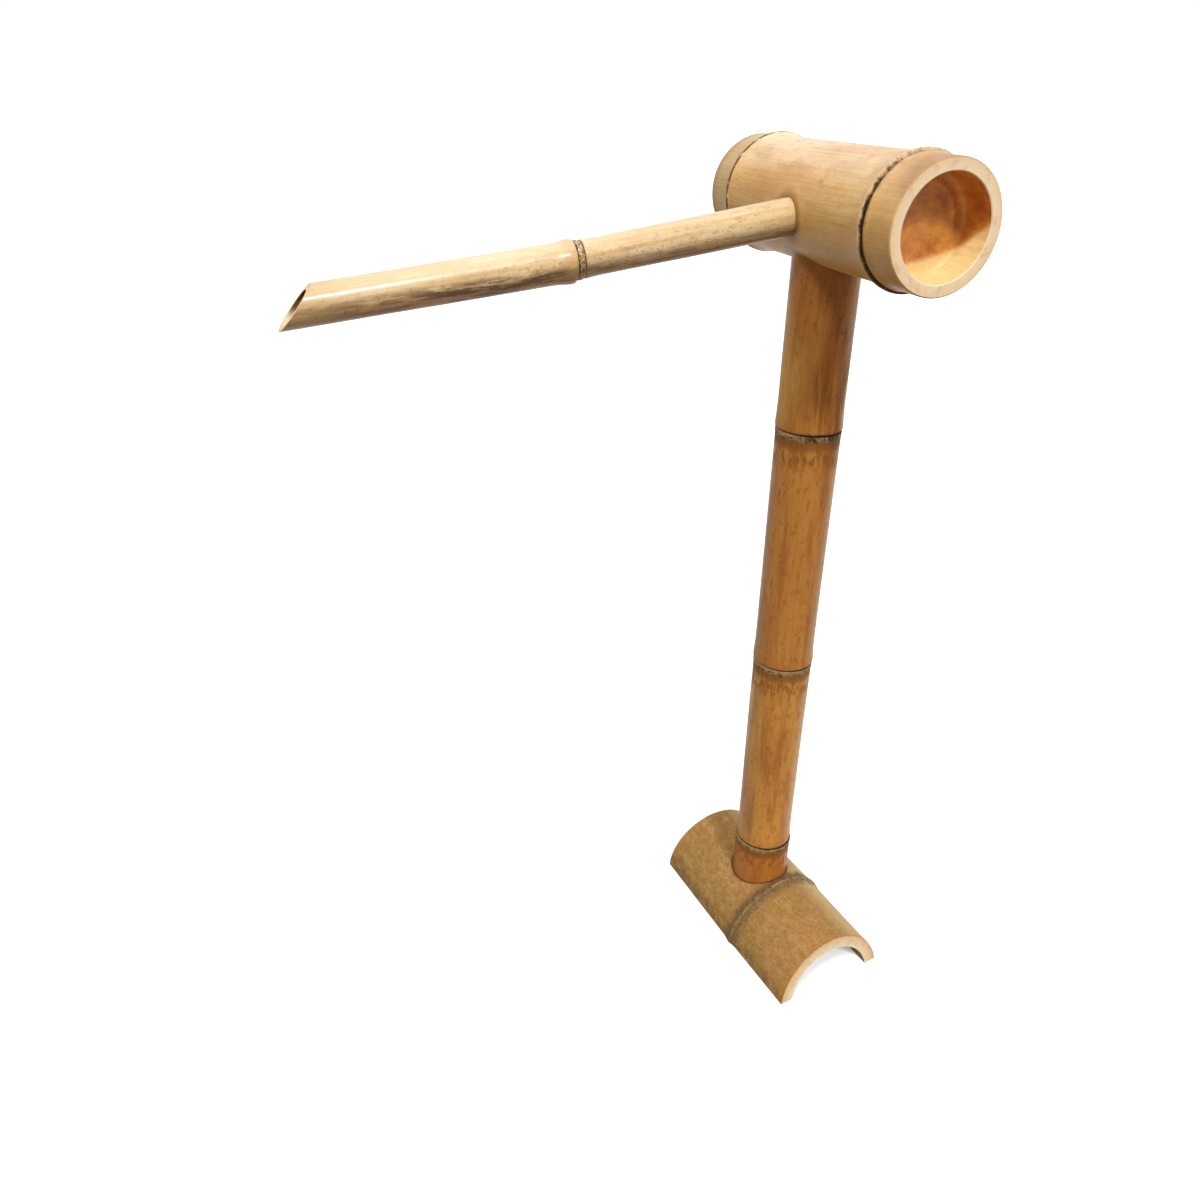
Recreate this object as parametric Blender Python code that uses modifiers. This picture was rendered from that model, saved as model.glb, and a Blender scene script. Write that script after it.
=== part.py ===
"""Bamboo water spout: a half-culm foot, an upright post, a drum head and a mitred spout, with the
water hose that runs up inside them. Metres, +Z up. The spout points along -X, the drum and the foot
lie along Y, and the origin is under the middle of the whole assembly, on the ground."""
import bpy
import bmesh
from math import cos, pi, radians, sin
from mathutils import Matrix, Vector
from mathutils.geometry import interpolate_bezier

# Fits
FIT_CLEARANCE = 0.0003  # gap all round where one piece is pushed into another
CUT_OVERRUN = 0.012  # how far a cutter runs past the face that it opens
WELD_GAP = 0.00002  # points nearer than this are one point

# Foot: half of a thick culm, split side down, with the post's hole through its crown
FOOT_RADIUS = 0.0605
FOOT_FAR_TAPER = 0.0025  # the culm is this much thinner in radius at its far end
FOOT_WALL = 0.0140
FOOT_NEAR_LENGTH = 0.1248  # post's axis to the near end, along the rim
FOOT_FAR_LENGTH = 0.0890
FOOT_SPLIT_HEIGHT = 0.0054  # at the post, the split runs this far above the culm's own axis
FOOT_TURN = radians(7.6)  # about the post, away from the drum's axis
FOOT_DIP = radians(1.4)  # the culm's axis falls towards the near end, because the split is not parallel
FOOT_END_LEAN = radians(7.0)  # the near end was sawn leaning back
FOOT_NODE_RIDGE = 0.0018
FOOT_NODE_SPREAD = 0.0110
FOOT_NODE_SHARE = 0.30  # of the near length
FOOT_RIB_DEPTH = 0.0080  # what is left of the node's diaphragm inside the arch
FOOT_RIB_WIDTH = 0.0050

# Post: a culm with three nodes, drilled through for the hose
POST_RADIUS = 0.0270
POST_BUTT_SWELL = 0.0013  # the joint below the lowest node is this much thicker in radius
POST_WALL = 0.0065
POST_EXPOSED = 0.6190  # crown of the foot to the underside of the drum
POST_FOOT_REACH = 0.0080  # past the inside of the foot's crown
POST_DRUM_REACH = 0.0080  # past the inside of the drum's wall
POST_NODE_LIP = 0.0008
POST_NODE_SPREAD = 0.0300
POST_DIAPHRAGM = 0.0040
POST_NODE_SHARES = (0.793, 0.427, 0.0705)  # heights, as shares of the exposed length

# Drum: a short fat culm, closed by its two nodes into a chamber with an open cup at each end
DRUM_RADIUS = 0.0424
DRUM_WALL = 0.0085
DRUM_NEAR_LENGTH = 0.1306  # post's axis to the near end
DRUM_FAR_LENGTH = 0.1172
DRUM_NEAR_CUP = 0.0290  # end face to node
DRUM_FAR_CUP = 0.0300
DRUM_NODE_LIP = 0.0030
DRUM_NODE_SPREAD = 0.0240
DRUM_DIAPHRAGM = 0.0050
DRUM_CUP_DISH = 0.0015  # the cup's floor sinks this much towards its middle
DRUM_END_SHARE = 0.45  # of the nodes' spread, on their side towards the drum's ends

# Spout: a thin culm with one drilled node, kinked there, cut to a lip at its mouth
SPOUT_ROOT_RADIUS = 0.0134
SPOUT_NECK_RADIUS = 0.0126  # just before the node
SPOUT_OUTER_RADIUS = 0.0137  # just after the node
SPOUT_MOUTH_RADIUS = 0.0133
SPOUT_WALL = 0.0033
SPOUT_DROP = 0.0005  # its axis passes this far below the drum's axis
SPOUT_OFFSET = 0.0057  # and this far to the near side of the post's axis
SPOUT_TILT = radians(7.5)  # falls towards the mouth
SPOUT_TURN = radians(1.1)  # towards the far side
SPOUT_KINK = radians(2.0)  # rises again by this at the node
SPOUT_NODE_AT = 0.2030  # from the drum's axis
SPOUT_LENGTH = 0.4096  # drum's axis to the tip of the lip
SPOUT_MITRE = radians(44.5)
SPOUT_DRUM_REACH = 0.0080  # past the inside of the drum's wall
SPOUT_NODE_LIP = 0.0011
SPOUT_NODE_SPREAD = 0.0120
SPOUT_DIAPHRAGM = 0.0040
SPOUT_NODE_BORE = 0.0070

# Hose: clear flexible tube from the inlet, up the post, round inside the drum and into the spout
HOSE_RADIUS = 0.0050
HOSE_WALL = 0.0014
HOSE_BEND = 0.0400
HOSE_PAST_NODE = 0.0250  # ends this far past the spout's node
HOSE_BELOW_NODE = 0.0140  # and this far below the post's lowest node
HOSE_POINT_STEP = 0.0300
HOSE_HANDLE_SHARE = 0.55  # handle of the bend's curve, as a share of its radius

# Inlet: a straight barbed joiner in the hose's lower end
INLET_BORE = 0.0018
INLET_SPIGOT = 0.0150  # length inside the hose
INLET_COLLAR_RADIUS = 0.0068
INLET_COLLAR = 0.0025
INLET_TAIL = 0.0200  # length left for the pump's tube
INLET_TAIL_RADIUS = 0.0034
INLET_BARB = 0.0009
INLET_BARBS = 3

# Sides of the turned shapes
FOOT_SIDES = 56
POST_SIDES = 36
DRUM_SIDES = 48
SPOUT_SIDES = 28
INLET_SIDES = 20
HOSE_ROUNDNESS = 3  # resolution of the hose's round section
HOSE_BEND_POINTS = 8
HOSE_CREASE = radians(40)  # edges sharper than this stay sharp

# Places that follow from the sizes
FOOT_CROWN = FOOT_RADIUS - FOOT_SPLIT_HEIGHT
FOOT_CEILING = FOOT_CROWN - FOOT_WALL
DRUM_BORE = DRUM_RADIUS - DRUM_WALL
DRUM_AXIS = FOOT_CROWN + POST_EXPOSED + DRUM_RADIUS
POST_BUTT_RADIUS = POST_RADIUS + POST_BUTT_SWELL
POST_BOTTOM = FOOT_CEILING - POST_FOOT_REACH
POST_TOP = DRUM_AXIS - DRUM_BORE + POST_DRUM_REACH
POST_NODES = [FOOT_CROWN + share * POST_EXPOSED for share in POST_NODE_SHARES]
SPOUT_ROOT_AT = DRUM_BORE - SPOUT_DRUM_REACH
HOSE_BOTTOM = POST_NODES[-1] - HOSE_BELOW_NODE
HOSE_BORE = HOSE_RADIUS - HOSE_WALL
HOSE_HOLE = HOSE_RADIUS + FIT_CLEARANCE


def clear_scene():
    for obj in list(bpy.data.objects):
        bpy.data.objects.remove(obj, do_unlink=True)


def new_collection(name):
    group = bpy.data.collections.new(name)
    bpy.context.scene.collection.children.link(group)
    return group


def new_empty(name, parent=None, matrix=Matrix()):
    empty = bpy.data.objects.new(name, None)
    parts.objects.link(empty)
    empty.parent = parent
    empty.matrix_basis = matrix
    return empty


def new_material(name, colour, roughness):
    material = bpy.data.materials.new(name)
    material.use_nodes = True
    shader = material.node_tree.nodes["Principled BSDF"]
    shader.inputs["Base Color"].default_value = (*colour, 1.0)
    shader.inputs["Roughness"].default_value = roughness
    shader.inputs["Metallic"].default_value = 0.0
    return material


def place(obj, parent, matrix=Matrix()):
    obj.parent = parent
    obj.matrix_basis = matrix
    return obj


def finish(obj, material):
    obj.data.materials.clear()
    obj.data.materials.append(material)
    return obj


def mark_cutter(obj):
    obj.hide_render = True
    obj.display_type = 'WIRE'
    return obj


def cut(target, cutter):
    """Takes the cutter's shape out of the target."""
    modifier = target.modifiers.new(cutter.name, 'BOOLEAN')
    modifier.operation = 'DIFFERENCE'
    modifier.solver = 'EXACT'
    modifier.object = cutter


def turned(name, outline, sides, group):
    """A turned shape about Z: the outline is a list of (radius, height), which runs down its outer
    side. It closes on itself, or starts and ends on the axis."""
    mesh = bpy.data.meshes.new(name)
    points = [(radius, 0.0, height) for radius, height in outline]
    edges = [(i, i + 1) for i in range(len(points) - 1)]
    if outline[0][0] or outline[-1][0]:
        edges.append((len(points) - 1, 0))
    mesh.from_pydata(points, edges, [])
    obj = bpy.data.objects.new(name, mesh)
    group.objects.link(obj)
    screw = obj.modifiers.new("turn", 'SCREW')
    screw.axis = 'Z'
    screw.angle = 2 * pi
    screw.steps = sides
    screw.render_steps = sides
    screw.use_merge_vertices = True
    screw.merge_threshold = WELD_GAP
    screw.use_smooth_shade = True
    return obj


def cylinder(name, radius, low, high, sides):
    """A cutter along Z between two heights."""
    outline = [(0.0, high), (radius, high), (radius, low), (0.0, low)]
    return mark_cutter(turned(name, outline, sides, cutters))


def box_cutter(name, size):
    mesh = bpy.data.meshes.new(name)
    block = bmesh.new()
    bmesh.ops.create_cube(block, size=1.0, matrix=Matrix.Diagonal((*size, 1.0)))
    block.to_mesh(mesh)
    block.free()
    obj = bpy.data.objects.new(name, mesh)
    cutters.objects.link(obj)
    return mark_cutter(obj)


def to_mesh(obj, group):
    """Replaces an object by the mesh that its modifiers or its curve make, with its caps welded."""
    bpy.context.view_layer.update()
    evaluated = obj.evaluated_get(bpy.context.evaluated_depsgraph_get())
    mesh = bpy.data.meshes.new_from_object(evaluated)
    solid = bmesh.new()
    solid.from_mesh(mesh)
    bmesh.ops.remove_doubles(solid, verts=solid.verts, dist=WELD_GAP)
    solid.to_mesh(mesh)
    solid.free()
    name = obj.name
    matrix = obj.matrix_world.copy()
    bpy.data.objects.remove(obj, do_unlink=True)
    made = bpy.data.objects.new(name, mesh)
    made.matrix_world = matrix
    group.objects.link(made)
    return made


def node_outline(height, above, below, lip, spread):
    """The outside of a culm across one node, from above it to below it: the swelling, its lip, the
    groove that the sheath left and the narrower band under it. Heights and radii are shares of the
    node's spread and lip."""
    upper_shares = ((1.0, 0.0), (0.55, 0.22), (0.25, 0.68), (0.09, 1.0), (0.03, 0.85))
    lower_shares = ((0.0, -0.25), (-0.06, 0.35), (-0.30, 0.25), (-0.80, 0.0))
    outline = [(above + rise * lip, height + at * spread) for at, rise in upper_shares]
    outline += [(below + rise * lip, height + at * spread) for at, rise in lower_shares]
    return outline


def drilled_outline(height, bore, hole, thickness):
    """The inside of a culm across a drilled diaphragm, from below it to above it."""
    half = thickness / 2
    return [(bore, height - half), (hole, height - half), (hole, height + half), (bore, height + half)]


def make_foot(parent):
    """The half culm. It is turned whole about its own axis, a little below the ground, and then split
    along the ground, sawn at its near end and bored through its crown."""
    near = FOOT_NEAR_LENGTH + CUT_OVERRUN
    far = -FOOT_FAR_LENGTH
    node = FOOT_NODE_SHARE * FOOT_NEAR_LENGTH
    thin = FOOT_RADIUS - FOOT_FAR_TAPER
    bore = FOOT_RADIUS - FOOT_WALL
    ridge_shares = ((1.0, 0.0), (0.45, 0.5), (0.12, 1.0), (-0.12, 0.75), (-0.5, 0.3), (-1.0, 0.0))
    ridge = []
    for at, rise in ridge_shares:
        ridge.append((FOOT_RADIUS + rise * FOOT_NODE_RIDGE, node + at * FOOT_NODE_SPREAD))
    rib_top = node + FOOT_RIB_WIDTH / 2
    rib_low = node - FOOT_RIB_WIDTH / 2
    rib = bore - FOOT_RIB_DEPTH
    outline = [(FOOT_RADIUS, near)] + ridge + [(thin, far), (thin - FOOT_WALL, far)]
    outline += [(bore, rib_low - FOOT_RIB_WIDTH), (rib, rib_low)]
    outline += [(rib, rib_top), (bore, rib_top + FOOT_RIB_WIDTH), (bore, near)]
    foot = turned("foot", outline, FOOT_SIDES, parts)
    # local +Z of the turned shape points to the near end, which is -Y
    lying = Matrix.Rotation(pi / 2, 4, 'X')
    turn = Matrix.Rotation(FOOT_TURN, 4, 'Z')
    sunk = Matrix.Translation((0.0, 0.0, -FOOT_SPLIT_HEIGHT)) @ Matrix.Rotation(FOOT_DIP, 4, 'X')
    place(foot, parent, turn @ sunk @ lying)

    reach = FOOT_NEAR_LENGTH + FOOT_FAR_LENGTH
    split = box_cutter("foot_split", (2 * reach, 2 * reach, 4 * FOOT_RADIUS))
    place(split, parent, turn @ Matrix.Translation((0.0, 0.0, -2 * FOOT_RADIUS)))
    cut(foot, split)

    saw = box_cutter("foot_end_saw", (2 * reach, reach, 4 * FOOT_RADIUS))
    sawn = Matrix.Translation((0.0, -FOOT_NEAR_LENGTH, 0.0)) @ Matrix.Rotation(-FOOT_END_LEAN, 4, 'X')
    place(saw, parent, turn @ sawn @ Matrix.Translation((0.0, -reach / 2, 0.0)))
    cut(foot, saw)

    above = FOOT_RADIUS + CUT_OVERRUN
    hole = cylinder("foot_mortise", POST_BUTT_RADIUS + FIT_CLEARANCE, 0.0, above, POST_SIDES)
    place(hole, parent)
    cut(foot, hole)
    return finish(foot, new_material("foot_culm", (0.45, 0.30, 0.14), 0.60))


def make_post(parent):
    """The upright culm, from inside the foot's arch to inside the drum."""
    radii = [POST_RADIUS, POST_RADIUS, POST_RADIUS, POST_BUTT_RADIUS]
    outline = [(radii[0], POST_TOP)]
    for i, height in enumerate(POST_NODES):
        outline += node_outline(height, radii[i], radii[i + 1], POST_NODE_LIP, POST_NODE_SPREAD)
    outline.append((radii[-1], POST_BOTTOM))
    bore = POST_RADIUS - POST_WALL
    outline.append((bore, POST_BOTTOM))
    for height in reversed(POST_NODES):
        outline += drilled_outline(height, bore, HOSE_HOLE, POST_DIAPHRAGM)
    outline.append((bore, POST_TOP))
    post = turned("post", outline, POST_SIDES, parts)
    place(post, parent)
    return finish(post, new_material("post_culm", (0.50, 0.22, 0.07), 0.35))


def make_drum(parent, spout_frame):
    """The drum, turned about an axis along Y with its near end at -Y."""
    near, far = DRUM_NEAR_LENGTH, -DRUM_FAR_LENGTH
    near_node = near - DRUM_NEAR_CUP
    far_node = far + DRUM_FAR_CUP
    half = DRUM_DIAPHRAGM / 2
    floor_shares = ((0.0, -1.0), (0.55, -0.6), (0.80, 0.0), (0.86, 0.5), (0.97, 0.7), (1.0, 2.4))
    near_floor = [(at * DRUM_BORE, near_node + half + rise * DRUM_CUP_DISH) for at, rise in floor_shares]
    far_floor = [(at * DRUM_BORE, far_node - half - rise * DRUM_CUP_DISH) for at, rise in floor_shares]
    outline = near_floor + [(DRUM_BORE, near), (DRUM_RADIUS, near)]
    # both lips face the middle of the drum, so the near node is the far one turned round
    node = node_outline(0.0, DRUM_RADIUS, DRUM_RADIUS, DRUM_NODE_LIP, DRUM_NODE_SPREAD)
    swell = [(radius, at * DRUM_END_SHARE if at < 0 else at) for radius, at in node]
    outline += [(radius, near_node - at) for radius, at in reversed(swell)]
    outline += [(radius, far_node + at) for radius, at in swell]
    outline += [(DRUM_RADIUS, far), (DRUM_BORE, far)] + far_floor[::-1]
    drum = turned("drum", outline, DRUM_SIDES, parts)
    lying = Matrix.Translation((0.0, 0.0, DRUM_AXIS)) @ Matrix.Rotation(pi / 2, 4, 'X')
    place(drum, parent, lying)

    chamber = cylinder("drum_chamber", DRUM_BORE, far_node + half, near_node - half, DRUM_SIDES)
    place(chamber, parent, lying)
    cut(drum, chamber)

    underside = -DRUM_RADIUS - CUT_OVERRUN
    hole = cylinder("drum_post_hole", POST_RADIUS + FIT_CLEARANCE, underside, 0.0, POST_SIDES)
    place(hole, parent, Matrix.Translation((0.0, 0.0, DRUM_AXIS)))
    cut(drum, hole)

    outside = DRUM_RADIUS + CUT_OVERRUN
    socket = cylinder("drum_spout_hole", SPOUT_ROOT_RADIUS + FIT_CLEARANCE, 0.0, outside, SPOUT_SIDES)
    place(socket, parent, spout_frame)
    cut(drum, socket)
    return finish(drum, new_material("drum_culm", (0.62, 0.40, 0.19), 0.45))


def spout_matrix():
    """Frame of the spout: origin beside the drum's axis, +Z down the spout to its mouth, +X up."""
    level = cos(SPOUT_TILT)
    along = Vector((-level * cos(SPOUT_TURN), level * sin(SPOUT_TURN), -sin(SPOUT_TILT)))
    side = Vector((0.0, 0.0, -1.0)).cross(along).normalized()
    up = side.cross(along)
    frame = Matrix((up, side, along)).transposed().to_4x4()
    return Matrix.Translation((0.0, -SPOUT_OFFSET, DRUM_AXIS - SPOUT_DROP)) @ frame


def make_spout(parent):
    """The spout culm, turned straight, kinked at its node and mitred at its mouth."""
    node = SPOUT_NODE_AT
    tail = SPOUT_LENGTH + CUT_OVERRUN
    outline = [(SPOUT_MOUTH_RADIUS, tail)]
    outline += node_outline(node, SPOUT_OUTER_RADIUS, SPOUT_NECK_RADIUS, SPOUT_NODE_LIP, SPOUT_NODE_SPREAD)
    outline += [(SPOUT_ROOT_RADIUS, DRUM_RADIUS + SPOUT_NODE_SPREAD), (SPOUT_ROOT_RADIUS, SPOUT_ROOT_AT)]
    bore = SPOUT_NECK_RADIUS - SPOUT_WALL
    outline += [(bore, SPOUT_ROOT_AT)]
    outline += drilled_outline(node, bore, SPOUT_NODE_BORE, SPOUT_DIAPHRAGM)
    outline += [(SPOUT_MOUTH_RADIUS - SPOUT_WALL, tail)]
    spout = to_mesh(turned("spout", outline, SPOUT_SIDES, parts), parts)

    kinked = bmesh.new()
    kinked.from_mesh(spout.data)
    outer = [vert for vert in kinked.verts if vert.co.z > node]
    kink = Matrix.Rotation(SPOUT_KINK, 3, 'Y')
    bmesh.ops.rotate(kinked, verts=outer, cent=(0.0, 0.0, node), matrix=kink)
    kinked.to_mesh(spout.data)
    kinked.free()
    place(spout, parent)

    # the mitre's plane leans back from the tip of the lip, which is the lowest point of the mouth
    size = 4 * SPOUT_MOUTH_RADIUS + CUT_OVERRUN
    saw = box_cutter("spout_mitre", (2 * size, 2 * size, 2 * size))
    outer_frame = Matrix.Translation((0.0, 0.0, node)) @ kink.to_4x4()
    tip = Matrix.Translation((-SPOUT_MOUTH_RADIUS, 0.0, SPOUT_LENGTH - node))
    lean = Matrix.Rotation(pi / 2 - SPOUT_MITRE, 4, 'Y')
    place(saw, parent, outer_frame @ tip @ lean @ Matrix.Translation((0.0, 0.0, size)))
    cut(spout, saw)
    return finish(spout, new_material("spout_culm", (0.66, 0.48, 0.25), 0.35))


def hose_route(frame):
    """Points of the hose's middle line: up the post, one bend inside the drum, down the spout."""
    start = frame.to_translation()
    along = frame.to_3x3() @ Vector((0.0, 0.0, 1.0))
    low = Vector((0.0, 0.0, HOSE_BOTTOM))
    bend_low = Vector((0.0, 0.0, start.z - HOSE_BEND))
    bend_high = start + along * HOSE_BEND
    end = start + along * (SPOUT_NODE_AT + HOSE_PAST_NODE)
    handle = HOSE_BEND * HOSE_HANDLE_SHARE
    rising = bend_low + Vector((0.0, 0.0, handle))
    bend = interpolate_bezier(bend_low, rising, bend_high - along * handle, bend_high, HOSE_BEND_POINTS)
    return spaced(low, bend_low) + bend[1:-1] + spaced(bend_high, end)


def spaced(first, last):
    """Evenly spaced points of a straight run."""
    count = max(1, round((last - first).length / HOSE_POINT_STEP))
    return [first.lerp(last, i / count) for i in range(count + 1)]


def tube(name, points, radius, group):
    curve = bpy.data.curves.new(name, 'CURVE')
    curve.dimensions = '3D'
    curve.bevel_depth = radius
    curve.bevel_resolution = HOSE_ROUNDNESS
    curve.use_fill_caps = True
    spline = curve.splines.new('POLY')
    spline.points.add(len(points) - 1)
    for knot, point in zip(spline.points, points):
        knot.co = (*point, 1.0)
    obj = bpy.data.objects.new(name, curve)
    group.objects.link(obj)
    return to_mesh(obj, group)


def make_hose(parent, frame):
    route = hose_route(frame)
    hose = tube("water_hose", route, HOSE_RADIUS, parts)
    place(hose, parent)
    first = route[0] + (route[0] - route[1]).normalized() * CUT_OVERRUN
    last = route[-1] + (route[-1] - route[-2]).normalized() * CUT_OVERRUN
    bore = mark_cutter(tube("hose_bore", [first] + route + [last], HOSE_BORE, cutters))
    place(bore, parent)
    cut(hose, bore)
    hose.data.shade_smooth()
    hose.data.set_sharp_from_angle(angle=HOSE_CREASE)
    return finish(hose, new_material("clear_tube", (0.75, 0.78, 0.78), 0.15))


def make_inlet(parent):
    """The joiner: a spigot up the hose, a collar against the hose's end and a barbed tail."""
    top = INLET_SPIGOT
    spigot = HOSE_BORE - FIT_CLEARANCE
    tail_top = -FIT_CLEARANCE - INLET_COLLAR
    outline = [(spigot, top), (spigot, -FIT_CLEARANCE), (INLET_COLLAR_RADIUS, -FIT_CLEARANCE)]
    outline += [(INLET_COLLAR_RADIUS, tail_top), (INLET_TAIL_RADIUS, tail_top)]
    pitch = INLET_TAIL / (INLET_BARBS + 1)
    for i in range(INLET_BARBS):
        height = tail_top - (i + 1) * pitch
        outline += [(INLET_TAIL_RADIUS, height), (INLET_TAIL_RADIUS + INLET_BARB, height)]
    tail_end = tail_top - INLET_TAIL
    outline += [(INLET_TAIL_RADIUS, tail_end), (INLET_BORE, tail_end), (INLET_BORE, top)]
    inlet = turned("hose_inlet", outline, INLET_SIDES, parts)
    place(inlet, parent, Matrix.Translation((0.0, 0.0, HOSE_BOTTOM)))
    return finish(inlet, new_material("black_plastic", (0.02, 0.02, 0.02), 0.40))


def stand_on_origin(assembly, pieces):
    """Moves the assembly so that the middle of its box is over the origin, on the ground."""
    bpy.context.view_layer.update()
    graph = bpy.context.evaluated_depsgraph_get()
    corners = []
    for piece in pieces:
        evaluated = piece.evaluated_get(graph)
        corners += [evaluated.matrix_world @ vert.co for vert in evaluated.data.vertices]
    low = [min(corner[i] for corner in corners) for i in range(3)]
    high = [max(corner[i] for corner in corners) for i in range(3)]
    assembly.location = (-(low[0] + high[0]) / 2, -(low[1] + high[1]) / 2, -low[2])
    bpy.context.view_layer.update()


clear_scene()
parts = new_collection("bamboo_water_spout")
cutters = new_collection("cutters")
assembly = new_empty("assembly")
foot_axis = new_empty("post_in_foot", assembly)
head_axis = new_empty("head_on_post", foot_axis)
spout_frame = spout_matrix()
spout_axis = new_empty("spout_in_drum", head_axis, spout_frame)
foot = make_foot(assembly)
post = make_post(foot_axis)
drum = make_drum(head_axis, spout_frame)
spout = make_spout(spout_axis)
hose = make_hose(head_axis, spout_frame)
inlet = make_inlet(head_axis)
stand_on_origin(assembly, [foot, post, drum, spout, hose, inlet])
for axis in (foot_axis, head_axis, spout_axis):
    print(axis.name, [tuple(round(value, 5) for value in row) for row in axis.matrix_world])
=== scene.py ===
from math import atan2, cos, exp, hypot, pi, radians, sin

import bmesh
import bpy
from mathutils import Matrix, Vector, noise


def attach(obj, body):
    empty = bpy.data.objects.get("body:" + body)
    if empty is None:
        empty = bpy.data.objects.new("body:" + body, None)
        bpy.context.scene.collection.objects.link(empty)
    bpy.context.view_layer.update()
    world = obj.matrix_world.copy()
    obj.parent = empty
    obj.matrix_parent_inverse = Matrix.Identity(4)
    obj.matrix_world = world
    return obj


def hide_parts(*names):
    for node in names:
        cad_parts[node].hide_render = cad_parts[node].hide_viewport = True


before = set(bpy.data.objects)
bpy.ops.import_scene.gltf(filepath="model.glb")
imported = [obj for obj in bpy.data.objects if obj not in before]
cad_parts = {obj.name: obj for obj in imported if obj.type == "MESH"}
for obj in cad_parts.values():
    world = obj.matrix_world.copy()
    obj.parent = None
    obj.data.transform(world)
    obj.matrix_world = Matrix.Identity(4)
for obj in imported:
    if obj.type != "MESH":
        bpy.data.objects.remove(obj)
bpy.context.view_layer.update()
print("frame loaded,", len(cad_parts), "nodes")

# camera of the photograph, and the plain studio around the object
studio = {
    "cameraAt": (-0.25862, -0.64089, 0.8038),
    "cameraTurn": (60.69, 0.0, -20.23),  # degrees
    "lens": 28.302, "sensor": 36.0,  # mm
    "nearClip": 0.01,
    "floorSide": 60.0,
    "floorDrop": 0.0003,
    "floorWhite": "#fafafa",
    "floorGlow": 0.33,  # lifts the paper to white where it is looked at
    "floorBounce": "#726952",  # what the object gets back from the floor
    "ambient": 0.38,
}
lamps = {  # broad soft lights so far away that the whole floor gets the same; watts on a square metre
    "leftAbove": {"from": (-0.55, -0.42, 1.0), "spread": 11.0, "watts": 1.62},
    "front": {"from": (-0.06, -1.0, 1.12), "spread": 9.0, "watts": 1.50},
    "rightFill": {"from": (1.0, -0.55, 0.35), "spread": 50.0, "watts": 0.75},
}


def linear(code):  # sRGB hex to Blender's linear colour
    parts = [int(code[i:i + 2], 16) / 255 for i in (1, 3, 5)]
    return tuple(c / 12.92 if c <= 0.04045 else ((c + 0.055) / 1.055) ** 2.4 for c in parts) + (1.0,)


def addNode(tree, kind, inputs=None, out=0, **settings):
    made = tree.nodes.new("ShaderNode" + kind)
    for key, value in settings.items():
        setattr(made, key, value)
    for key, value in (inputs or {}).items():
        if isinstance(value, bpy.types.NodeSocket):
            tree.links.new(value, made.inputs[key])
        else:
            made.inputs[key].default_value = value
    return made.outputs[out] if len(made.outputs) else made


inColour = {"out": 2, "data_type": 'RGBA'}  # for a Mix node
eased = {"interpolation_type": 'SMOOTHSTEP'}  # for a Map Range node


def newMaterial(name):
    material = bpy.data.materials.new(name)
    material.use_nodes = True
    material.node_tree.nodes.clear()
    return material, material.node_tree


def lookedAt(tree):
    # 1 where the camera, gloss or clear plastic looks, 0 for light on the object
    ray = tree.nodes.new("ShaderNodeLightPath")
    seen = addNode(tree, "Math", {0: ray.outputs["Is Camera Ray"], 1: ray.outputs["Is Glossy Ray"]},
                   operation='MAXIMUM')
    return addNode(tree, "Math", {0: seen, 1: ray.outputs["Is Transmission Ray"]}, operation='MAXIMUM')


cameraData = bpy.data.cameras.new("camera")
cameraData.lens = studio["lens"]
cameraData.sensor_width = studio["sensor"]
cameraData.clip_start = studio["nearClip"]
photoCamera = bpy.data.objects.new("camera", cameraData)
photoCamera.location = studio["cameraAt"]
photoCamera.rotation_euler = [radians(angle) for angle in studio["cameraTurn"]]
bpy.context.scene.collection.objects.link(photoCamera)
bpy.context.scene.camera = photoCamera
bpy.context.scene.view_settings.view_transform = 'Standard'

for lampName, lamp in lamps.items():
    lampData = bpy.data.lights.new(lampName, 'SUN')
    lampData.angle = radians(lamp["spread"])
    lampData.energy = lamp["watts"]
    lampObject = bpy.data.objects.new(lampName, lampData)
    lampObject.location = lamp["from"]
    lampObject.rotation_euler = Vector(lamp["from"]).to_track_quat('Z', 'Y').to_euler()
    bpy.context.scene.collection.objects.link(lampObject)

# a white surrounding, softer as a light
world = bpy.data.worlds.new("studio")
bpy.context.scene.world = world
world.use_nodes = True
sky = world.node_tree
sky.nodes.clear()
strength = addNode(sky, "MapRange", {"Value": lookedAt(sky), "To Min": studio["ambient"], "To Max": 1.0})
skyLight = addNode(sky, "Background", {"Color": (1.0, 1.0, 1.0, 1.0), "Strength": strength})
addNode(sky, "OutputWorld", {"Surface": skyLight})

floorMaterial, tree = newMaterial("paperSweep")  # matt white paper that keeps a soft shadow
bounce = addNode(tree, "BsdfDiffuse", {"Color": linear(studio["floorBounce"])})
white = addNode(tree, "BsdfDiffuse", {"Color": linear(studio["floorWhite"])})
glow = addNode(tree, "Emission", {"Color": (1.0, 1.0, 1.0, 1.0), "Strength": studio["floorGlow"]})
paper = addNode(tree, "AddShader", {0: white, 1: glow})
paper = addNode(tree, "MixShader", {0: lookedAt(tree), 1: bounce, 2: paper})
below = addNode(tree, "NewGeometry", out="Backfacing")  # open from underneath, to show the underside
paper = addNode(tree, "MixShader", {0: below, 1: paper, 2: addNode(tree, "BsdfTransparent")})
addNode(tree, "OutputMaterial", {"Surface": paper})
floorMesh = bpy.data.meshes.new("floor")
bm = bmesh.new()
bmesh.ops.create_grid(bm, x_segments=1, y_segments=1, size=studio["floorSide"] / 2)
bmesh.ops.translate(bm, verts=bm.verts, vec=(0.0, 0.0, -studio["floorDrop"]))
bm.to_mesh(floorMesh)
bm.free()
floorMesh.materials.append(floorMaterial)
floor = bpy.data.objects.new("floor", floorMesh)
bpy.context.scene.collection.objects.link(floor)
print("camera, lamps and floor placed")


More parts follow.
